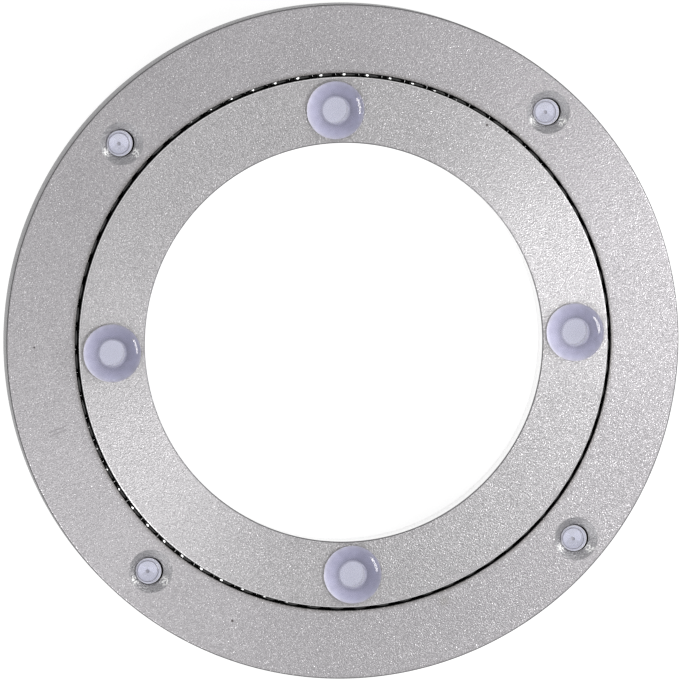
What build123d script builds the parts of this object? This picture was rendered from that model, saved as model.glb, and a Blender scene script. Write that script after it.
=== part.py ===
from build123d import *
import math
import os

# Lazy susan bearing: two flat aluminium rings, one turning inside the other on a full ring of steel
# balls, with clear push-in pads on top of the inner ring and clear push-in feet under the outer ring.
# The origin is on the axis of rotation, in the plane of the feet's undersides, and Z points up.

# Rings
outer_diameter = 140.0
outer_ring_width = 14.3
inner_ring_width = 13.7
ring_gap = 0.65
ring_thickness = 7.5
inner_ring_raise = 1.0
inner_ring_turn = -1.7
rim_chamfer = 0.4
edge_chamfer = 0.25

# Balls and the way they are loaded
ball_diameter = 4.763
ball_gap = 0.03
race_clearance = 0.06
filling_hole_clearance = 0.12
filling_hole_angle = 0.0
plug_clearance = 0.02
plug_recess = 0.3

# Screw holes, each plugged by the stem of a pad or a foot
holes_per_ring = 4
first_outer_hole_angle = 45.0
outer_hole_shift = 1.3
hole_diameter = 5.3
countersink_diameter = 9.0
countersink_angle = 90.0

# Pads and feet: one clear moulding, a domed head on a stem that fills the screw hole
head_diameter = 12.0
head_height = 2.3
head_rim_height = 0.5
head_flat_diameter = 4.0
head_sides = 24
dome_steps = 2
stem_clearance = 0.05
stem_end_length = 0.95

# Radii and heights that follow
outer_radius = outer_diameter / 2
outer_ring_wall = outer_radius - outer_ring_width
ball_circle_radius = outer_ring_wall - ring_gap / 2
inner_ring_wall = outer_ring_wall - ring_gap
bore_radius = inner_ring_wall - inner_ring_width
outer_hole_circle = (outer_radius + outer_ring_wall) / 2
inner_hole_circle = (inner_ring_wall + bore_radius) / 2
outer_bottom = head_height
outer_top = outer_bottom + ring_thickness
inner_bottom = outer_bottom + inner_ring_raise
inner_top = inner_bottom + ring_thickness
ball_height = (inner_bottom + outer_top) / 2
ball_radius = ball_diameter / 2
race_radius = ball_radius + race_clearance
ball_count = math.floor(math.pi / math.asin((ball_radius + ball_gap / 2) / ball_circle_radius))
hole_radius = hole_diameter / 2
countersink_radius = countersink_diameter / 2
countersink_depth = (countersink_radius - hole_radius) / math.tan(math.radians(countersink_angle / 2))
throat_depth = ring_thickness - countersink_depth


def lathe(edges):
    """Turn a closed outline, drawn in the XZ plane, about the Z axis."""
    return revolve(make_face(edges), Axis.Z)


def ring_outline(inner, outer, bottom, top, inner_cut, outer_cut):
    """Section of a ring, its two upper edges chamfered."""
    points = [
        (inner, bottom),
        (outer, bottom),
        (outer, top - outer_cut),
        (outer - outer_cut, top),
        (inner + inner_cut, top),
        (inner, top - inner_cut),
    ]
    return Plane.XZ * Polyline(*points, close=True)


def race():
    """Ring of hexagonal section that both races are cut with: a root and two flanks face the balls."""
    hexagon = Rot(0, 0, 30) * RegularPolygon(race_radius, 6, major_radius=False)
    return revolve(Plane.XZ * Pos(ball_circle_radius, ball_height) * hexagon, Axis.Z)


def around(part, circle, first_angle, count):
    """Copies of a part at even steps round a circle about the Z axis."""
    step = 360 / count
    return [Rot(0, 0, first_angle + step * i) * Pos(circle, 0, 0) * part for i in range(count)]


def at_outer_holes(part):
    """Copies of a part at the outer ring's holes, which were drilled a little off centre, towards +X."""
    drilled = around(part, outer_hole_circle, first_outer_hole_angle, holes_per_ring)
    return [Pos(outer_hole_shift, 0, 0) * copy for copy in drilled]


def screw_hole():
    """Through hole with its countersink, cut from a face at height 0 downwards to the countersink."""
    shank = Pos(0, 0, -ring_thickness / 2) * Cylinder(hole_radius, ring_thickness)
    sink = Pos(0, 0, -ring_thickness) * Cone(
        countersink_radius, hole_radius, countersink_depth, align=(Align.CENTER, Align.CENTER, Align.MIN)
    )
    return shank + sink


def filling_bore(radius):
    """Round bar along the radial hole through which the balls go in, from the race to the outer wall."""
    length = outer_radius - ball_circle_radius
    bar = Cylinder(radius, length, align=(Align.CENTER, Align.CENTER, Align.MIN))
    return Rot(0, 0, filling_hole_angle) * Pos(ball_circle_radius, 0, ball_height) * Rot(0, 90, 0) * bar


def outer_ring_blank(wall_radius):
    """Outer ring as turned, out to a given radius, with its half of the race and no holes."""
    section = ring_outline(outer_ring_wall, wall_radius, outer_bottom, outer_top, edge_chamfer, rim_chamfer)
    return lathe(section) - race()


def make_outer_ring():
    """Base ring: four holes countersunk from above and the filling hole through its side."""
    turned_over = Pos(0, 0, outer_bottom) * Rot(180, 0, 0) * screw_hole()
    filling = filling_bore(ball_radius + filling_hole_clearance)
    return outer_ring_blank(outer_radius) - at_outer_holes(turned_over) - filling


def make_filling_plug():
    """Plug in the filling hole: its inner end carries on the race, its outer end sits below the wall."""
    bar = filling_bore(ball_radius + filling_hole_clearance - plug_clearance)
    return bar & outer_ring_blank(outer_radius - plug_recess)


def make_inner_ring():
    """Turning ring, raised above the outer one: four holes countersunk from below."""
    section = ring_outline(bore_radius, inner_ring_wall, inner_bottom, inner_top, edge_chamfer, rim_chamfer)
    hole = Pos(0, 0, inner_top) * screw_hole()
    return lathe(section) - race() - around(hole, inner_hole_circle, inner_ring_turn, holes_per_ring)


def make_ball():
    """One ball in flats, to keep the many balls light: a cube chamfered until all its flats are equal.

    Its corners lie on the ball's sphere, so it fills the race as the ball does.
    """
    flat = ball_diameter / math.sqrt(5 + 2 * math.sqrt(2))
    side = flat * (1 + math.sqrt(2))
    return chamfer(Box(side, side, side).edges(), flat / math.sqrt(2))


def make_balls():
    """Full ring of balls, evenly spread round the race with a sliver of room between them."""
    ball = Pos(0, 0, ball_height) * make_ball()
    return Compound(children=around(ball, ball_circle_radius, 0, ball_count))


def dome_point(share):
    """Radius and height on the head's elliptical dome, from its rim at share 0 to its flat top at share 1."""
    flat_radius = head_flat_diameter / 2
    turn = share * math.pi / 2
    across = (head_diameter / 2 - flat_radius) * math.cos(turn)
    up = (head_height - head_rim_height) * math.sin(turn)
    return flat_radius + across, head_rim_height + up


def head_slice(low, high):
    """Slice of a pad's head between two of its points, in flats to keep the eight pads light."""
    (radius, bottom), (top_radius, top) = low, high
    drawn_in = (radius - top_radius) * math.cos(math.pi / head_sides)
    lean = math.degrees(math.atan2(drawn_in, top - bottom))
    return extrude(Pos(0, 0, bottom) * RegularPolygon(radius, head_sides), top - bottom, taper=lean)


def make_pad():
    """One pad, head up: its underside at height 0 and its stem down through the ring's hole."""
    outline = [(head_diameter / 2, 0)] + [dome_point(i / dome_steps) for i in range(dome_steps + 1)]
    head = [head_slice(low, high) for low, high in zip(outline, outline[1:])]
    stem_length = throat_depth + stem_end_length
    stem = Cylinder(hole_radius - stem_clearance, stem_length, align=(Align.CENTER, Align.CENTER, Align.MAX))
    return stem + head


def save(name, part):
    """Write one node."""
    part.label = name
    export_step(part, os.path.join("parts", name + ".step"))


os.makedirs("parts", exist_ok=True)
save("outer_ring", make_outer_ring())
save("inner_ring", make_inner_ring())
save("filling_plug", make_filling_plug())
save("steel_balls", make_balls())

top_pad = Pos(0, 0, inner_top) * make_pad()
for number, pad in enumerate(around(top_pad, inner_hole_circle, inner_ring_turn, holes_per_ring), 1):
    save(f"top_pad_{number}", pad)

foot_pad = Pos(0, 0, outer_bottom) * Rot(180, 0, 0) * make_pad()
for number, foot in enumerate(at_outer_holes(foot_pad), 1):
    save(f"foot_{number}", foot)
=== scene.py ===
import math

import bpy
from mathutils import Matrix, Vector


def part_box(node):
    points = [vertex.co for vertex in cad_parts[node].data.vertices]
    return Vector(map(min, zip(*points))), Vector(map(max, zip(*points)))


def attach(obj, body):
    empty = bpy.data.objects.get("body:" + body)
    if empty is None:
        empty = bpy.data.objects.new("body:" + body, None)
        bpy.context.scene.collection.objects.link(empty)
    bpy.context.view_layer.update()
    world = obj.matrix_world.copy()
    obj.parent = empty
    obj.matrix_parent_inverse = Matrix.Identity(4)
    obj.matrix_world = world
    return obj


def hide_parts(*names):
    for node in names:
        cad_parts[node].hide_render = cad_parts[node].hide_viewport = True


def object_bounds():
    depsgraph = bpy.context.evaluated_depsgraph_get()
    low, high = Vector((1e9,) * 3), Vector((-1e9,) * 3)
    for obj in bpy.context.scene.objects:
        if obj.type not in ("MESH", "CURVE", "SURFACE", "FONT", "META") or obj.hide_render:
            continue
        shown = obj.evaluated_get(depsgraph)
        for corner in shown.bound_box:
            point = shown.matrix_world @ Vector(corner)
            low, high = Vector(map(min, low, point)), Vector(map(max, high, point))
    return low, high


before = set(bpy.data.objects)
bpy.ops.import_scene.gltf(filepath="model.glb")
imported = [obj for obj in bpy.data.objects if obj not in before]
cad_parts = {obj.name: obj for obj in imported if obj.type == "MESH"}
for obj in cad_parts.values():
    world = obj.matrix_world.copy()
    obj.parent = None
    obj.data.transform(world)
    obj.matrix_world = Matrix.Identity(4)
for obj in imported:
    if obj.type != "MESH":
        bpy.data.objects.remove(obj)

# A lazy susan bearing: sandblasted aluminium rings, steel balls in a dark greased race, clear vinyl
# pads on the inner ring and clear feet under the outer one. Lengths are in metres, in the frame of
# the model. Angles are in degrees, and azimuths are counted from +x towards +y.

MM = 0.001
cad_low, cad_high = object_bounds()

# Sizes read from the frame
outer_low, outer_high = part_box("outer_ring")
inner_low, inner_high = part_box("inner_ring")
outer_radius = min(cad_high.x, cad_high.y, -cad_low.x, -cad_low.y)
inner_wall = inner_high.x

# Sizes of the solids, the same as the part's own
ring_gap = 0.65 * MM
bore_radius = 41.35 * MM
rim_chamfer = 0.4 * MM
edge_chamfer = 0.25 * MM
lower_break = 0.2 * MM
ball_radius = 4.763 / 2 * MM
race_clearance = 0.06 * MM
plug_clearance = 0.02 * MM
hole_radius = 2.65 * MM
countersink_radius = 4.5 * MM
head_radius = 6.0 * MM
head_height = 2.3 * MM
stem_radius = 2.6 * MM
stem_end = 0.95 * MM
BALL_COUNT = 72
PAD_NUMBERS = range(1, 5)

# Sizes that follow from those
countersink_depth = countersink_radius - hole_radius
throat = outer_high.z - outer_low.z - countersink_depth
outer_wall = inner_wall + ring_gap
ball_circle = inner_wall + ring_gap / 2
ball_height = (inner_low.z + outer_high.z) / 2

# Fine forms of the pads and feet: the dome, the underside, and how far a foot's stem end leans
# below its throat and, further, below a height above its end
head_flat = 2.0 * MM
head_rim = 0.5 * MM
seat_lift = 0.03 * MM
seat_round = 0.15 * MM
seat_start = 2.9 * MM
lip_lean = 0.33 * MM
flat_lean = 0.25 * MM
leaning_height = 0.2 * MM

# Cutters: their reach past a ring's faces, the foot of a countersink painted dark as shade, and the drill's
# length
cutter_reach = 1 * MM
shaded_foot = 0.12 * MM
drill_length = 20 * MM

# Steps of the meshes, the least angle of a sharp edge, and how upright a flat face's normal is
RING_STEPS = 384
HOLE_STEPS = 72
DRILL_STEPS = 48
PAD_STEPS = 96
DOME_STEPS = 18
CORNER_STEPS = 3
BALL_ROWS, BALL_COLUMNS = 18, 32
SHARP_EDGE = 35
FLAT_FACE = 0.999
ON_AXIS = 1e-9

# Material slots of the rings, and of the pads and feet. RACE is near black, partly grease and partly painted
# shade; WALL and EDGE are painted shade and RIM a painted highlight; SEAT is painted shade and light, SHADE
# painted shade and LIP painted light
FACE, HOLE, RACE, WALL, BORE, EDGE, RIM = range(7)
CLEAR, SEAT, SHADE, LIP = range(4)

# A foot's stem end, seen in its countersink: gate dimple, flat, groove, bevel and soft lip. Radius
# and height above the end in mm, and the slot of the span that begins there
FOOT_STEM = (
    (0.00, 0.15, SHADE), (0.28, 0.12, SHADE), (0.40, 0.00, CLEAR), (0.50, 0.00, CLEAR),
    (2.06, 0.00, SHADE), (2.16, 0.14, SHADE), (2.30, 0.05, CLEAR), (2.58, 0.36, LIP),
    (2.68, 0.50, LIP), (2.68, 0.62, CLEAR), (2.54, 0.90, CLEAR),
)

# Noise, in features to the metre, and the turn in radians that keeps flat faces off its grid
GRAIN, COARSE_GRAIN, GLITTER, PATCHES = 3900, 1700, 5200, 60
TURNED_GRAIN, TURNED_WAVER = 2500, 900
SMEARS, GREASE_FILM, GAP_SHADE_NOISE, STREAKS = 700, 500, 120, 2400
RIPPLES, CLOUDING = 90, 700
NOISE_TURN = (0.61, 0.43, 0.29)

# Gloss drawn out across the turning, as a share of a full turn from along it
ACROSS = 0.25

# Turning lines: their pitch and how far they waver
line_pitch = 0.16 * MM
line_waver = 0.25 * MM

# Marks on the metal: place, radius and fade in mm, and colour
DARK, GREY = (0.10, 0.09, 0.09, 1), (0.30, 0.29, 0.29, 1)
OUTER_SPECKS = (
    ((-64.1, 3.7), 0.16, 0.10, DARK),
    ((-26.9, -56.0), 0.20, 0.12, DARK),
    ((17.4, -55.3), 0.50, 0.90, GREY),
)
INNER_SPECKS = (((32.7, 42.8), 0.22, 0.10, (0.12, 0.11, 0.11, 1)),)

# Scratches on the outer ring, in mm, and the width of the painted shade beside the gap
SCRATCHES = ((-60.5, -13.6), (-60.3, -14.3))
SCRATCH_TURN, SCRATCH_LENGTH, SCRATCH_WIDTH = 18.0, 3.8, 0.5
SCRATCH_COLOUR, GAP_SHADE_COLOUR = (0.27, 0.26, 0.27, 1), (0.13, 0.12, 0.11, 1)
gap_shade_width = 0.9 * MM

# Painted glints in a countersink, near-white patches where lamp highlights fall: azimuths, distance from its
# middle, radius and fade
GLINT_AZIMUTHS = (206, 321)
glint_distance = 3.5 * MM
glint_radius = 0.6 * MM
GLINT_COLOUR = (0.96, 0.96, 0.94, 1)

# Vinyl: its cloudy share, how much bluer its painted shade in the metal is, and how far a dome bends the
# light
CLOUDY_SHARE = 0.2
LILAC = 1.2
DOME_BEND = 0.85

# Levels of the floor and of the world's light, and half the floor's width
FLOOR_GLOW, FLOOR_PAPER = 0.86, 0.3
WORLD_LIGHT = 0.55
floor_half = 3.0

# The photograph's frame, where the axis is in it, and its scale at the rings' top
FRAME_WIDTH, FRAME_HEIGHT = 680, 684
PHOTO_CENTRE = (343.45, 342.2)
PIXELS_TO_A_MM = 4.834
SENSOR_WIDTH = 36


# Node helpers

def new_material(name):
    """An empty node material, its tree and its output node."""
    material = bpy.data.materials.new(name)
    material.use_nodes = True
    material.node_tree.nodes.clear()
    output = material.node_tree.nodes.new("ShaderNodeOutputMaterial")
    return material, material.node_tree, output


def add(tree, kind, inputs=None, **settings):
    """A node with its settings and its inputs, each a value or another node's socket."""
    node = tree.nodes.new(kind)
    for key, value in settings.items():
        setattr(node, key, value)
    for key, value in (inputs or {}).items():
        if isinstance(value, bpy.types.NodeSocket):
            tree.links.new(value, node.inputs[key])
        else:
            node.inputs[key].default_value = value
    return node


def math_node(tree, operation, a, b=0.0):
    """The result of a sum on one or two numbers."""
    return add(tree, "ShaderNodeMath", {0: a, 1: b}, operation=operation).outputs[0]


def vector_node(tree, operation, inputs, output=0):
    """A result of a sum on vectors."""
    return add(tree, "ShaderNodeVectorMath", inputs, operation=operation).outputs[output]


def mixed_colour(tree, factor, first, second, blend="MIX"):
    """Two colours mixed or otherwise blended."""
    node = add(tree, "ShaderNodeMix", {"Factor": factor, "A": first, "B": second},
               data_type="RGBA", blend_type=blend)
    return node.outputs["Result"]


def ramp(tree, factor, stops):
    """Colour ramp from (place, grey or colour) stops."""
    node = add(tree, "ShaderNodeValToRGB", {0: factor})
    elements = node.color_ramp.elements
    while len(elements) < len(stops):
        elements.new(1.0)
    for element, (place, value) in zip(elements, stops):
        element.position = place
        element.color = (*value, 1) if isinstance(value, tuple) else (value, value, value, 1)
    return node.outputs[0]


def fade(tree, value, start, end):
    """1 up to start, and from there down to 0 at end."""
    return add(tree, "ShaderNodeMapRange", {"Value": value, "From Min": start, "From Max": end,
                                            "To Min": 1.0, "To Max": 0.0}).outputs[0]


def bump(tree, height, strength, distance):
    """A normal from a height."""
    inputs = {"Strength": strength, "Distance": distance, "Height": height}
    return add(tree, "ShaderNodeBump", inputs).outputs[0]


def object_place(tree):
    """Where a point is on the object at rest."""
    return add(tree, "ShaderNodeTexCoord").outputs["Object"]


def noise(tree, scale, detail=3.0):
    """Noise in features to the metre."""
    askew = add(tree, "ShaderNodeMapping", {"Vector": object_place(tree), "Rotation": NOISE_TURN}).outputs[0]
    inputs = {"Vector": askew, "Scale": scale, "Detail": detail, "Roughness": 0.5}
    return add(tree, "ShaderNodeTexNoise", inputs).outputs[0]


def flat_distance(tree, centre):
    """How far a point is from an upright line through centre."""
    flat = vector_node(tree, "MULTIPLY", {0: object_place(tree), 1: (1, 1, 0)})
    return vector_node(tree, "DISTANCE", {0: flat, 1: (*centre, 0)}, "Value")


def near_point(tree, centre, radius, soft):
    """1 inside a small round mark at centre on a ring's face, fading out over soft."""
    return fade(tree, flat_distance(tree, centre), radius, radius + soft)


def near_circle(tree, radius, reach):
    """Strongest at a circle about the axis and patchy along it, fading outwards over reach."""
    span = fade(tree, flat_distance(tree, (0, 0)), radius, radius + reach)
    patchy = ramp(tree, noise(tree, GAP_SHADE_NOISE, 2.0), [(0.35, 0.5), (0.65, 0.9)])
    return math_node(tree, "MULTIPLY", span, patchy)


def near_line(tree, centre, turn, length, width):
    """1 along a short straight scratch, soft across."""
    moved = vector_node(tree, "SUBTRACT", {0: object_place(tree), 1: (*centre, 0)})
    turned_back = add(tree, "ShaderNodeVectorRotate", {"Vector": moved, "Angle": -math.radians(turn)},
                      rotation_type="Z_AXIS")
    parts = add(tree, "ShaderNodeSeparateXYZ", {0: turned_back.outputs[0]})
    along = math_node(tree, "ABSOLUTE", parts.outputs[0])
    across = math_node(tree, "ABSOLUTE", parts.outputs[1])
    inside = math_node(tree, "LESS_THAN", along, length / 2)
    return math_node(tree, "MULTIPLY", inside, fade(tree, across, width / 5, width / 2))


def seen_rays(tree):
    """1 for rays from the camera and for those that metal and clear vinyl send on, else 0."""
    path = add(tree, "ShaderNodeLightPath")
    seen = math_node(tree, "ADD", path.outputs["Is Camera Ray"], path.outputs["Is Glossy Ray"])
    seen = math_node(tree, "ADD", seen, path.outputs["Is Transmission Ray"])
    return math_node(tree, "MINIMUM", seen, 1.0)


# Materials

def sandblasted(name, base, anisotropy, depth, marks):
    """Silver sandblasted aluminium: a fine grain that sparkles where it is lit, with its own marks, which on
    the outer ring include painted shade and in the countersinks painted glints.
    """
    material, tree, output = new_material(name)
    grain = noise(tree, GRAIN, 1.0)
    coarse = noise(tree, COARSE_GRAIN, 1.0)
    glitter = noise(tree, GLITTER, 0.0)
    both = math_node(tree, "ADD", math_node(tree, "MULTIPLY", grain, 0.7),
                     math_node(tree, "MULTIPLY", coarse, 0.3))
    shades = ((0.30, 0.80), (0.50, 1.0), (0.70, 1.23))
    tone = ramp(tree, both, [(place, tuple(share * part for part in base)) for place, share in shades])
    patch = ramp(tree, noise(tree, PATCHES, 2.0), [(0.3, 0.95), (0.7, 1.0)])
    colour = mixed_colour(tree, 1.0, tone, patch, "MULTIPLY")
    spark = ramp(tree, glitter, [(0.71, 0.0), (0.79, 0.6)])
    colour = mixed_colour(tree, spark, colour, (0.95, 0.94, 0.95, 1))
    for mask, shade in marks(tree):
        colour = mixed_colour(tree, mask, colour, shade)
    rough = ramp(tree, glitter, [(0.30, 0.66), (0.70, 0.34)])
    round_axis = add(tree, "ShaderNodeTangent", direction_type="RADIAL", axis="Z").outputs[0]
    shader = add(tree, "ShaderNodeBsdfPrincipled",
                 {"Base Color": colour, "Metallic": 1.0, "Roughness": rough,
                  "Normal": bump(tree, both, 0.9, depth), "Tangent": round_axis,
                  "Anisotropic": anisotropy, "Anisotropic Rotation": ACROSS})
    tree.links.new(shader.outputs[0], output.inputs[0])
    return material


def turned_metal(name, base, roughness, line_depth, edge_on=None):
    """Machined aluminium with fine turning lines, of the level edge_on where it is seen edge on."""
    material, tree, output = new_material(name)
    height = add(tree, "ShaderNodeSeparateXYZ", {0: object_place(tree)}).outputs[2]
    waver = math_node(tree, "MULTIPLY", noise(tree, TURNED_WAVER), line_waver)
    phase = math_node(tree, "MULTIPLY", math_node(tree, "ADD", height, waver), 2 * math.pi / line_pitch)
    normal = bump(tree, math_node(tree, "SINE", phase), 0.6, line_depth)
    grain = noise(tree, TURNED_GRAIN)
    tone = ramp(tree, grain, [(0.35, tuple(0.85 * part for part in base)), (0.65, base)])
    if edge_on:
        side = add(tree, "ShaderNodeLayerWeight", {"Blend": 0.5}).outputs["Facing"]
        gloss = ramp(tree, side, [(0.45, 0.0), (0.78, 1.0)])
        tone = mixed_colour(tree, gloss, tone, (edge_on, edge_on, edge_on, 1))
    rough = ramp(tree, grain, [(0.3, roughness * 0.85), (0.7, roughness * 1.15)])
    shader = add(tree, "ShaderNodeBsdfPrincipled",
                 {"Base Color": tone, "Metallic": 1.0, "Roughness": rough, "Normal": normal})
    tree.links.new(shader.outputs[0], output.inputs[0])
    return material


def greased_and_shaded_metal():
    """Race and gap walls and screw-hole throats: near black, partly grease and partly painted shade where
    they lie out of the light.
    """
    material, tree, output = new_material("greased_race_and_painted_shade")
    smear = noise(tree, SMEARS)
    tone = ramp(tree, smear, [(0.3, 0.004), (0.7, 0.014)])
    rough = ramp(tree, smear, [(0.3, 0.6), (0.7, 0.8)])
    shader = add(tree, "ShaderNodeBsdfPrincipled",
                 {"Base Color": tone, "Metallic": 0.0, "Roughness": rough, "Specular IOR Level": 0.08})
    tree.links.new(shader.outputs[0], output.inputs[0])
    return material


def ball_steel():
    """Polished balls painted near black as shade, darker still round their sides as grease and painted shade:
    only lamps show in them.
    """
    material, tree, output = new_material("ball_steel")
    film = noise(tree, GREASE_FILM)
    # painted shade: the steel's base is near black, as if it lay deep in a dark slit
    tone = ramp(tree, film, [(0.3, 0.04), (0.7, 0.07)])
    rough = ramp(tree, film, [(0.3, 0.03), (0.7, 0.07)])
    steel = add(tree, "ShaderNodeBsdfPrincipled", {"Base Color": tone, "Metallic": 1.0, "Roughness": rough})
    # grease and painted shade darken the balls' sides
    grease_and_shade = add(tree, "ShaderNodeBsdfPrincipled",
                 {"Base Color": (0.006, 0.006, 0.006, 1), "Roughness": 0.8, "Specular IOR Level": 0.0})
    side = add(tree, "ShaderNodeLayerWeight", {"Blend": 0.5}).outputs["Facing"]
    share = ramp(tree, side, [(0.22, 0.0), (0.45, 1.0)])
    mixed = add(tree, "ShaderNodeMixShader", {0: share, 1: steel.outputs[0], 2: grease_and_shade.outputs[0]})
    tree.links.new(mixed.outputs[0], output.inputs[0])
    return material


def clear_vinyl(name, mirrored_shade, shadow):
    """Soft, slightly cloudy vinyl with a lilac tint.

    Its level as seen in the metal beside it is painted shade, dark so that the metal round it looks shaded;
    shadow is the light that its shadow lets through.
    """
    material, tree, output = new_material(name)
    ripple = noise(tree, RIPPLES, 0.0)
    tint = ramp(tree, ripple, [(0.35, (0.62, 0.63, 0.78)), (0.65, (0.68, 0.69, 0.83))])
    rough = ramp(tree, ripple, [(0.35, 0.08), (0.65, 0.11)])
    clear = add(tree, "ShaderNodeBsdfPrincipled",
                {"Base Color": tint, "Roughness": rough, "IOR": 1.5, "Transmission Weight": 1.0,
                 "Normal": bump(tree, ripple, 0.05, 0.3 * MM)})
    cloud = add(tree, "ShaderNodeBsdfTranslucent", {"Color": (0.96, 0.95, 0.97, 1)})
    body = add(tree, "ShaderNodeMixShader", {0: CLOUDY_SHARE, 1: clear.outputs[0], 2: cloud.outputs[0]})
    path = add(tree, "ShaderNodeLightPath")
    inside = math_node(tree, "MINIMUM", path.outputs["Transmission Depth"], 1.0)
    outside = math_node(tree, "SUBTRACT", 1.0, inside)
    from_metal = math_node(tree, "MULTIPLY", path.outputs["Is Glossy Ray"], outside)
    # painted shade: seen from the metal, the vinyl shows as a dark diffuse, so the metal round a pad looks
    # shaded
    shade_in_metal = add(tree, "ShaderNodeBsdfDiffuse", {"Color": (mirrored_shade, mirrored_shade, LILAC * mirrored_shade, 1)})
    seen = add(tree, "ShaderNodeMixShader", {0: from_metal, 1: body.outputs[0], 2: shade_in_metal.outputs[0]})
    passing = add(tree, "ShaderNodeBsdfTransparent", {"Color": (shadow, shadow, shadow, 1)})
    mixed = add(tree, "ShaderNodeMixShader",
                {0: path.outputs["Is Shadow Ray"], 1: seen.outputs[0], 2: passing.outputs[0]})
    tree.links.new(mixed.outputs[0], output.inputs[0])
    return material


def seat_vinyl():
    """A pad's underside, seen through its dome, which bends the light in towards the far side.

    The bending is a lean of the normal towards the pad's middle, by the pad's own outward vector. Its colour
    is painted shade near the stem and painted light towards the rim.
    """
    material, tree, output = new_material("seat_vinyl")
    outward = add(tree, "ShaderNodeAttribute", attribute_name="outward").outputs["Vector"]
    in_world = add(tree, "ShaderNodeVectorTransform", {0: outward},
                   vector_type="VECTOR", convert_from="OBJECT", convert_to="WORLD").outputs[0]
    inward = vector_node(tree, "SCALE", {0: in_world, "Scale": -DOME_BEND})
    straight = add(tree, "ShaderNodeNewGeometry").outputs["Normal"]
    leaning = vector_node(tree, "ADD", {0: straight, 1: inward})
    normal = vector_node(tree, "NORMALIZE", {0: leaning})
    share = vector_node(tree, "LENGTH", {0: outward}, "Value")
    cloud = noise(tree, CLOUDING, 1.0)
    tint = ramp(tree, cloud, [(0.35, (0.84, 0.84, 0.86)), (0.65, (0.96, 0.96, 0.98))])
    # painted shade and light: darker towards the stem, paler and greyer towards the rim
    shade = ramp(tree, share, [(0.48, (0.25, 0.25, 0.31)), (0.62, (0.44, 0.44, 0.55)),
                               (0.82, (0.61, 0.61, 0.74)), (0.95, (0.92, 0.91, 0.96))])
    colour = mixed_colour(tree, 1.0, tint, shade, "MULTIPLY")
    dull = add(tree, "ShaderNodeBsdfPrincipled", {"Base Color": colour, "Roughness": 0.6, "Normal": normal})
    tree.links.new(dull.outputs[0], output.inputs[0])
    return material


def dull_vinyl(name, level):
    """Cloudy vinyl that lets no light through, of a level that varies a little. Dark, it is painted shade;
    pale, painted light.
    """
    material, tree, output = new_material(name)
    cloud = noise(tree, CLOUDING, 1.0)
    tint = ramp(tree, cloud, [(0.35, (level, level, level + 0.07)),
                              (0.65, (level + 0.06, level + 0.06, level + 0.13))])
    dull = add(tree, "ShaderNodeBsdfPrincipled", {"Base Color": tint, "Roughness": 0.7})
    tree.links.new(dull.outputs[0], output.inputs[0])
    return material


def floor_white():
    """White ground that shows the soft shadow of the bearing and sends little light back."""
    material, tree, output = new_material("floor_white")
    level = math_node(tree, "MULTIPLY", seen_rays(tree), FLOOR_GLOW)
    glow = add(tree, "ShaderNodeEmission", {"Color": (1, 1, 1, 1), "Strength": level})
    paper = add(tree, "ShaderNodeBsdfDiffuse", {"Color": (FLOOR_PAPER, FLOOR_PAPER, FLOOR_PAPER, 1)})
    both = add(tree, "ShaderNodeAddShader", {0: glow.outputs[0], 1: paper.outputs[0]})
    tree.links.new(both.outputs[0], output.inputs[0])
    return material


# Marks on the metal, with painted shade beside the gap and painted glints in the countersinks, as masks and
# colours

def specks(tree, marks):
    """Small round marks on a face."""
    for (x, y), radius, soft, colour in marks:
        yield near_point(tree, (x * MM, y * MM), radius * MM, soft * MM), colour


def outer_marks_and_gap_shade(tree):
    """Specks, a smudge, two short scratches and a patchy dark band of painted shade beside the gap, on the
    outer ring.
    """
    yield from specks(tree, OUTER_SPECKS)
    for x, y in SCRATCHES:
        middle = (x * MM, y * MM)
        yield near_line(tree, middle, SCRATCH_TURN, SCRATCH_LENGTH * MM, SCRATCH_WIDTH * MM), SCRATCH_COLOUR
    # painted shade: a patchy dark band on the outer ring beside the gap, where the raised inner ring shades
    # it
    yield near_circle(tree, outer_wall, gap_shade_width), GAP_SHADE_COLOUR


def inner_marks(tree):
    """One dark speck near the inner ring's outer edge."""
    yield from specks(tree, INNER_SPECKS)


def countersink_painted_glints(tree):
    """Two painted glints low in each countersink of the outer ring: streaked near-white patches where lamp
    highlights fall.
    """
    streaks = ramp(tree, noise(tree, STREAKS, 1.0), [(0.44, 0.0), (0.56, 1.0)])
    for k in PAD_NUMBERS:
        middle = pad_centre(f"foot_{k}")
        for turn in map(math.radians, GLINT_AZIMUTHS):
            place = (middle.x + glint_distance * math.cos(turn), middle.y + glint_distance * math.sin(turn))
            patch = near_point(tree, place, glint_radius, glint_radius)
            # painted glint: a streaked near-white patch where a lamp's highlight falls in the countersink
            yield math_node(tree, "MULTIPLY", patch, streaks), GLINT_COLOUR


# Mesh helpers

def finish_mesh(name, points, faces, materials, face_slots=None):
    """An object from points and faces, smooth but for its sharp edges."""
    mesh = bpy.data.meshes.new(name)
    mesh.from_pydata(points, [], faces)
    for material in materials:
        mesh.materials.append(material)
    if face_slots:
        mesh.polygons.foreach_set("material_index", face_slots)
    mesh.polygons.foreach_set("use_smooth", [True] * len(mesh.polygons))
    mesh.update()
    mesh.set_sharp_from_angle(angle=math.radians(SHARP_EDGE))
    thing = bpy.data.objects.new(name, mesh)
    bpy.context.scene.collection.objects.link(thing)
    return thing


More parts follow.
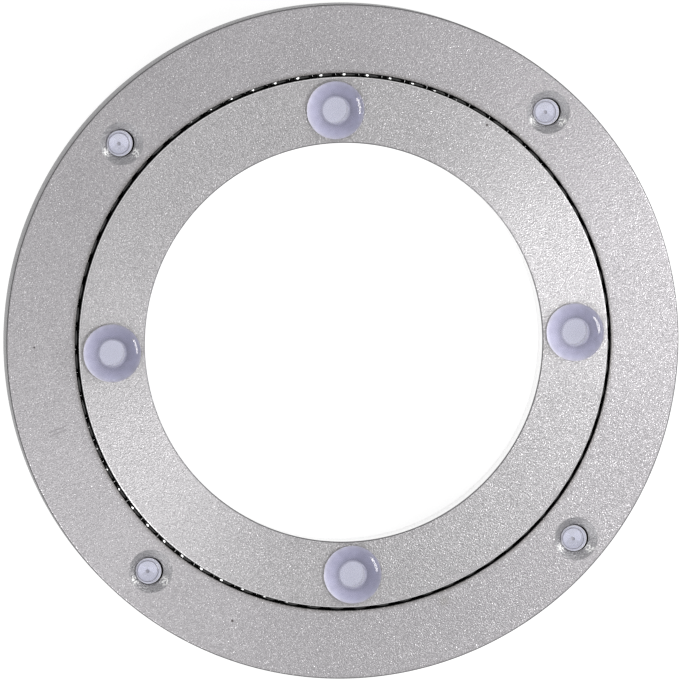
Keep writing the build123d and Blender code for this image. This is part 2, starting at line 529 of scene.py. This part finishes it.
def turned(profile, steps, closed):
    """Points, faces and each face's span from a profile of (radius, height) turned about the axis."""
    points, rows, faces, spans = [], [], [], []
    turns = [2 * math.pi * i / steps for i in range(steps)]
    for radius, height in profile:
        if radius < ON_AXIS:
            rows.append([len(points)] * steps)
            points.append((0, 0, height))
        else:
            rows.append([len(points) + i for i in range(steps)])
            points += [(radius * math.cos(turn), radius * math.sin(turn), height) for turn in turns]
    for k in range(len(profile) if closed else len(profile) - 1):
        low, high = rows[k], rows[(k + 1) % len(rows)]
        for i in range(steps):
            j = (i + 1) % steps
            corners = list(dict.fromkeys((low[i], low[j], high[j], high[i])))
            if len(corners) > 2:
                faces.append(corners)
                spans.append(k)
    return points, faces, spans


def lathe(name, profile, slots, steps, materials, closed=True):
    """A turned piece from its profile and the slots of the profile's spans."""
    points, faces, spans = turned(profile, steps, closed)
    return finish_mesh(name, points, faces, materials, [slots[k] for k in spans])


def joined(*runs):
    """One profile and its slots, from runs of points and the slots of the spans that begin at them."""
    return ([point for points, _ in runs for point in points],
            [slot for _, slots in runs for slot in slots])


def corner(radius, height, size, start):
    """A rounded corner of a profile: a quarter turn of points, from the angle start."""
    turns = [math.radians(start + 90 * i / CORNER_STEPS) for i in range(CORNER_STEPS + 1)]
    return [(radius + size * math.cos(turn), height + size * math.sin(turn)) for turn in turns]


def cut(thing, cutters):
    """Takes the cutters out of a piece, and removes them. Flat faces keep their own normals."""
    for cutter in cutters:
        modifier = thing.modifiers.new("cut", "BOOLEAN")
        modifier.object = cutter
        modifier.operation = "DIFFERENCE"
        modifier.solver = "EXACT"
        modifier.material_mode = "TRANSFER"
    bpy.context.view_layer.update()
    graph = bpy.context.evaluated_depsgraph_get()
    made = bpy.data.meshes.new_from_object(thing.evaluated_get(graph))
    thing.modifiers.clear()
    thing.data = made
    made.set_sharp_from_angle(angle=math.radians(SHARP_EDGE))
    made.polygons.foreach_set("use_smooth", [abs(face.normal.z) < FLAT_FACE for face in made.polygons])
    for cutter in cutters:
        bpy.data.objects.remove(cutter)


# Pieces

def race_side(side):
    """Points of one race's half hexagon, from its lower mouth to its upper one, on side 1 or -1."""
    slope = math.tan(math.radians(30))
    apothem = ball_radius + race_clearance
    root = apothem * slope
    mouth = 2 * root - ring_gap / 2 * slope
    wall = ball_circle + side * ring_gap / 2
    deep = ball_circle + side * apothem
    return [(wall, ball_height - mouth), (deep, ball_height - root),
            (deep, ball_height + root), (wall, ball_height + mouth)]


def pad_centre(node):
    """Middle of a pad's or foot's box."""
    low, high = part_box(node)
    return (low + high) / 2


def hole_cutter(materials, low, high, way):
    """Screw-hole cutter from low to high, its countersink at the top for way 1 and below for -1.

    The throat and the foot of the countersink are painted near black as shade, and the rest of the
    countersink is blasted.
    """
    shaded = hole_radius + shaded_foot
    face, back = (high, low) if way > 0 else (low, high)
    past_face, past_back = face + way * cutter_reach, back - way * cutter_reach
    profile = [
        (0, past_back), (hole_radius, past_back), (hole_radius, face - way * countersink_depth),
        (shaded, face - way * (countersink_radius - shaded)), (countersink_radius, face),
        (countersink_radius + cutter_reach, past_face), (0, past_face),
    ]
    slots = [RACE, RACE, RACE, HOLE, HOLE, HOLE]
    if way < 0:
        profile.reverse()
        slots.reverse()
    return lathe("hole_cutter", profile, slots, HOLE_STEPS, materials, closed=False)


def hole_cutters(materials, kind, low, high, way):
    """The screw-hole cutters of a ring, one at each of its pads or feet."""
    cutters = []
    for k in PAD_NUMBERS:
        centre = pad_centre(f"{kind}_{k}")
        cutter = hole_cutter(materials, low, high, way)
        cutter.matrix_world = Matrix.Translation((centre.x, centre.y, 0))
        cutters.append(cutter)
    return cutters


def filling_cutter(materials):
    """Cutter of the radial hole through which the balls are loaded."""
    low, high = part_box("filling_plug")
    radius = (high.y - low.y) / 2 + plug_clearance
    profile = [(0, 0), (radius, 0), (radius, drill_length), (0, drill_length)]
    drill = lathe("filling_cutter", profile, [HOLE] * 3, DRILL_STEPS, materials, closed=False)
    lying = Matrix.Rotation(math.pi / 2, 4, "Y")
    drill.matrix_world = Matrix.Translation((ball_circle, 0, ball_height)) @ lying
    return drill


def outer_ring(materials):
    """The outer ring: race, rounded edges, four holes countersunk from above and the filling hole."""
    low, high = outer_low.z, outer_high.z
    profile, slots = joined(
        (corner(outer_radius - lower_break, low + lower_break, lower_break, -90), (FACE, FACE, FACE, WALL)),
        (corner(outer_radius - rim_chamfer, high - rim_chamfer, rim_chamfer, 0), (EDGE, EDGE, FACE, FACE)),
        (corner(outer_wall + edge_chamfer, high - edge_chamfer, edge_chamfer, 90), (FACE, EDGE, RACE, RACE)),
        (reversed(race_side(1)), (RACE, RACE, RACE, RACE)),
        (corner(outer_wall + lower_break, low + lower_break, lower_break, 180), (RACE, FACE, FACE, FACE)),
    )
    ring = lathe("outer_ring_finished", profile, slots, RING_STEPS, materials)
    cut(ring, [*hole_cutters(materials, "foot", low, high, 1), filling_cutter(materials)])
    return ring


def inner_ring(materials):
    """The turning ring: race, rounded edges and four holes countersunk from below."""
    low, high = inner_low.z, inner_high.z
    profile, slots = joined(
        (corner(inner_wall - lower_break, low + lower_break, lower_break, -90), (FACE, FACE, FACE, RACE)),
        (race_side(-1), (RACE, RACE, RACE, RACE)),
        (corner(inner_wall - rim_chamfer, high - rim_chamfer, rim_chamfer, 0), (RIM, RIM, FACE, FACE)),
        (corner(bore_radius + edge_chamfer, high - edge_chamfer, edge_chamfer, 90), (WALL, WALL, WALL, BORE)),
        (corner(bore_radius + lower_break, low + lower_break, lower_break, 180), (FACE, FACE, FACE, FACE)),
    )
    ring = lathe("inner_ring_finished", profile, slots, RING_STEPS, materials)
    cut(ring, hole_cutters(materials, "top_pad", low, high, -1))
    return ring


def pad_profile(upward):
    """A pad's or foot's profile and slots: stem, underside, head and dome. The ring is at height 0."""
    end = throat + stem_end
    if upward:
        stem, stem_slots = [(0, -end), (stem_radius, -end)], (CLEAR, CLEAR)
    else:
        stem = [(radius * MM, height * MM - end) for radius, height, _ in FOOT_STEM]
        stem_slots = [slot for _, _, slot in FOOT_STEM]
    underside = [(stem[-1][0], seat_lift), (seat_start, seat_lift)]
    head = corner(head_radius - seat_round, seat_lift + seat_round, seat_round, -90)
    for i in range(1, DOME_STEPS + 1):
        turn = math.pi / 2 * i / DOME_STEPS
        head.append((head_flat + (head_radius - head_flat) * math.cos(turn),
                     head_rim + (head_height - head_rim) * math.sin(turn)))
    head.append((0, head_height))
    return joined((stem, stem_slots), (underside, (SHADE, SEAT)), (head, [CLEAR] * len(head)))


def pad(name, node, materials, upward):
    """One clear pad or foot in place of its node. A foot's stem end leans to one side of its hole."""
    profile, slots = pad_profile(upward)
    piece = lathe(name, profile, slots, PAD_STEPS, materials, closed=False)
    centre = pad_centre(node)
    if upward:
        place = Matrix.Translation((centre.x, centre.y, inner_high.z))
    else:
        for point in piece.data.vertices:
            if point.co.z < -throat:
                point.co.x -= lip_lean
            if point.co.z < leaning_height - throat - stem_end:
                point.co.x -= flat_lean
        place = Matrix.Translation((centre.x, centre.y, outer_low.z)) @ Matrix.Rotation(math.pi, 4, "X")
    piece.data.transform(place)
    outward = piece.data.attributes.new("outward", "FLOAT_VECTOR", "POINT")
    for point, entry in zip(piece.data.vertices, outward.data):
        entry.vector = ((point.co.x - centre.x) / head_radius, (point.co.y - centre.y) / head_radius, 0)
    return piece


def balls(material):
    """The full ring of polished balls."""
    polars = [math.pi * row / BALL_ROWS for row in range(BALL_ROWS + 1)]
    half = [(ball_radius * math.sin(polar), -ball_radius * math.cos(polar)) for polar in polars]
    ball_points, ball_faces, _ = turned(half, BALL_COLUMNS, closed=False)
    points, faces = [], []
    for k in range(BALL_COUNT):
        turn = 2 * math.pi * k / BALL_COUNT
        x, y = ball_circle * math.cos(turn), ball_circle * math.sin(turn)
        faces += [[len(points) + n for n in face] for face in ball_faces]
        points += [(x + px, y + py, ball_height + pz) for px, py, pz in ball_points]
    return finish_mesh("steel_balls_polished", points, faces, [material])


# Build

outer_blast = sandblasted("sandblasted_outer", (0.352, 0.341, 0.353), 0.6, 0.15 * MM, outer_marks_and_gap_shade)
inner_blast = sandblasted("sandblasted_inner", (0.425, 0.415, 0.425), 0.85, 0.15 * MM, inner_marks)
ring_metals = [
    # The countersinks carry painted glints
    sandblasted("sandblasted_holes", (0.40, 0.395, 0.405), 0.0, 0.3 * MM, countersink_painted_glints),
    # near black: grease in the race, and painted shade in the gap and the screw-hole throats
    greased_and_shaded_metal(),
    # The outer wall and the bore's top edge are painted shade, the dark edges too, and the bright rim of the
    # inner ring is a painted highlight
    turned_metal("turned_wall_painted_shade", (0.175, 0.172, 0.178), 0.35, 0.010 * MM),
    turned_metal("turned_bore", (0.50, 0.495, 0.505), 0.32, 0.006 * MM, edge_on=0.88),
    turned_metal("turned_edges_painted_shade", (0.11, 0.108, 0.112), 0.4, 0.010 * MM),
    turned_metal("turned_rim_painted_highlight", (0.85, 0.85, 0.85), 0.3, 0.004 * MM),
]
# The hole-edge vinyl is painted shade round the stems, in the gate dimples and grooves; the lip vinyl is
# painted light on the feet's lips
inner_vinyl = [seat_vinyl(), dull_vinyl("hole_edge_vinyl_painted_shade", 0.36), dull_vinyl("lip_vinyl_painted_light", 0.80)]
pad_vinyl = [clear_vinyl("clear_vinyl", mirrored_shade=0.10, shadow=0.14), *inner_vinyl]
foot_vinyl = [clear_vinyl("clear_foot_vinyl", mirrored_shade=0.45, shadow=0.45), *inner_vinyl]

ring_o = outer_ring([outer_blast, *ring_metals])
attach(ring_o, "base")
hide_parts("outer_ring")

ring_i = inner_ring([inner_blast, *ring_metals])
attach(ring_i, "turning_ring")
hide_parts("inner_ring")

ball_ring = balls(ball_steel())
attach(ball_ring, "ball_set")
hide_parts("steel_balls")

pads = []
for k in PAD_NUMBERS:
    top = pad(f"clear_pad_{k}", f"top_pad_{k}", pad_vinyl, True)
    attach(top, "turning_ring")
    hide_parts(f"top_pad_{k}")
    foot = pad(f"clear_foot_{k}", f"foot_{k}", foot_vinyl, False)
    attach(foot, "base")
    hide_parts(f"foot_{k}")
    pads += [top, foot]

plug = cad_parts["filling_plug"]
plug.data.materials.clear()
plug.data.materials.append(turned_metal("turned_plug", (0.25, 0.25, 0.255), 0.35, 0.010 * MM))


# Stage, camera and light

def make_floor():
    """A wide level ground under the bearing."""
    half = floor_half
    floor = finish_mesh("floor", [(-half, -half, 0), (half, -half, 0), (half, half, 0), (-half, half, 0)],
                        [(0, 1, 2, 3)], [floor_white()])
    return floor


def make_world():
    """White behind the object and in its reflections, softer as light."""
    world = bpy.data.worlds.new("studio")
    bpy.context.scene.world = world
    world.use_nodes = True
    tree = world.node_tree
    tree.nodes.clear()
    output = add(tree, "ShaderNodeOutputWorld")
    level = add(tree, "ShaderNodeMapRange", {"Value": seen_rays(tree), "To Min": WORLD_LIGHT, "To Max": 1.0})
    sky = add(tree, "ShaderNodeBackground", {"Color": (1, 1, 1, 1), "Strength": level.outputs[0]})
    tree.links.new(sky.outputs[0], output.inputs[0])


def collected(name, things):
    """A collection of some pieces, for a lamp's links."""
    collection = bpy.data.collections.new(name)
    for thing in things:
        collection.objects.link(thing)
    return collection


def direction(azimuth, elevation):
    """Unit vector towards an azimuth and elevation."""
    a, e = math.radians(azimuth), math.radians(elevation)
    return Vector((math.cos(a) * math.cos(e), math.sin(a) * math.cos(e), math.sin(e)))


def make_lamp(name, azimuth, elevation, distance, size, power, only, blockers=(), warmth=0.0):
    """A soft rectangular lamp aimed at the middle, which lights only some pieces.

    Where blockers are given, nothing else casts a shadow from it.
    """
    data = bpy.data.lights.new(name, "AREA")
    data.shape = "RECTANGLE"
    data.size, data.size_y = size
    data.energy = power
    data.color = (1.0, 1.0 - warmth / 3, 1.0 - warmth)
    lamp = bpy.data.objects.new(name, data)
    bpy.context.scene.collection.objects.link(lamp)
    away = direction(azimuth, elevation)
    lamp.visible_camera = False
    lamp.location = away * distance
    lamp.rotation_mode = "QUATERNION"
    lamp.rotation_quaternion = away.to_track_quat("Z", "Y")
    lamp.light_linking.receiver_collection = collected(f"{name}_lit", only)
    if blockers:
        lamp.light_linking.blocker_collection = collected(f"{name}_blockers", blockers)


def make_camera(tilt, tilt_azimuth, up_azimuth, distance, scale, shift):
    """Long-lens camera almost straight above, leaning towards tilt_azimuth, with up_azimuth up.

    Scale is the frame's height in metres at the rings' top, and shift moves the aim in that frame.
    """
    data = bpy.data.cameras.new("camera")
    camera = bpy.data.objects.new("camera", data)
    bpy.context.scene.collection.objects.link(camera)
    back = direction(tilt_azimuth, 90 - tilt)
    up = direction(up_azimuth, 0)
    up = (up - up.dot(back) * back).normalized()
    right = up.cross(back)
    aim = Vector((0, 0, outer_high.z)) + right * shift[0] + up * shift[1]
    turn = Matrix((right, up, back)).transposed().to_4x4()
    camera.matrix_world = Matrix.Translation(aim + back * distance) @ turn
    data.sensor_width = SENSOR_WIDTH
    data.lens = SENSOR_WIDTH * distance / scale
    data.clip_start, data.clip_end = 0.05, 50
    bpy.context.scene.camera = camera


rings = [ring_o, ring_i]
metal_and_floor = [*rings, plug, make_floor()]
make_world()
make_lamp("key_low", 9, 28, distance=0.25, size=(0.11, 0.035), power=0.215, only=metal_and_floor)
make_lamp("key_high", -22, 60, distance=0.25, size=(0.05, 0.035), power=0.139, only=metal_and_floor)
make_lamp("fill_left", 222, 35, distance=0.5, size=(0.225, 0.225), power=1.03, only=metal_and_floor)
make_lamp("ball_glint", 160, 50, distance=0.25, size=(0.12, 0.10), power=1.5, only=[ball_ring])
make_lamp("pad_glow", 8, 32, distance=0.5, size=(0.26, 0.14), power=1.6, only=pads,
          blockers=rings, warmth=0.08)

pixel = MM / PIXELS_TO_A_MM
make_camera(
    tilt=7.8, tilt_azimuth=141.4, up_azimuth=86.2, distance=3.0, scale=FRAME_HEIGHT * pixel,
    shift=((FRAME_WIDTH / 2 - PHOTO_CENTRE[0]) * pixel, (PHOTO_CENTRE[1] - FRAME_HEIGHT / 2) * pixel),
)
bpy.context.scene.view_settings.view_transform = "Standard"
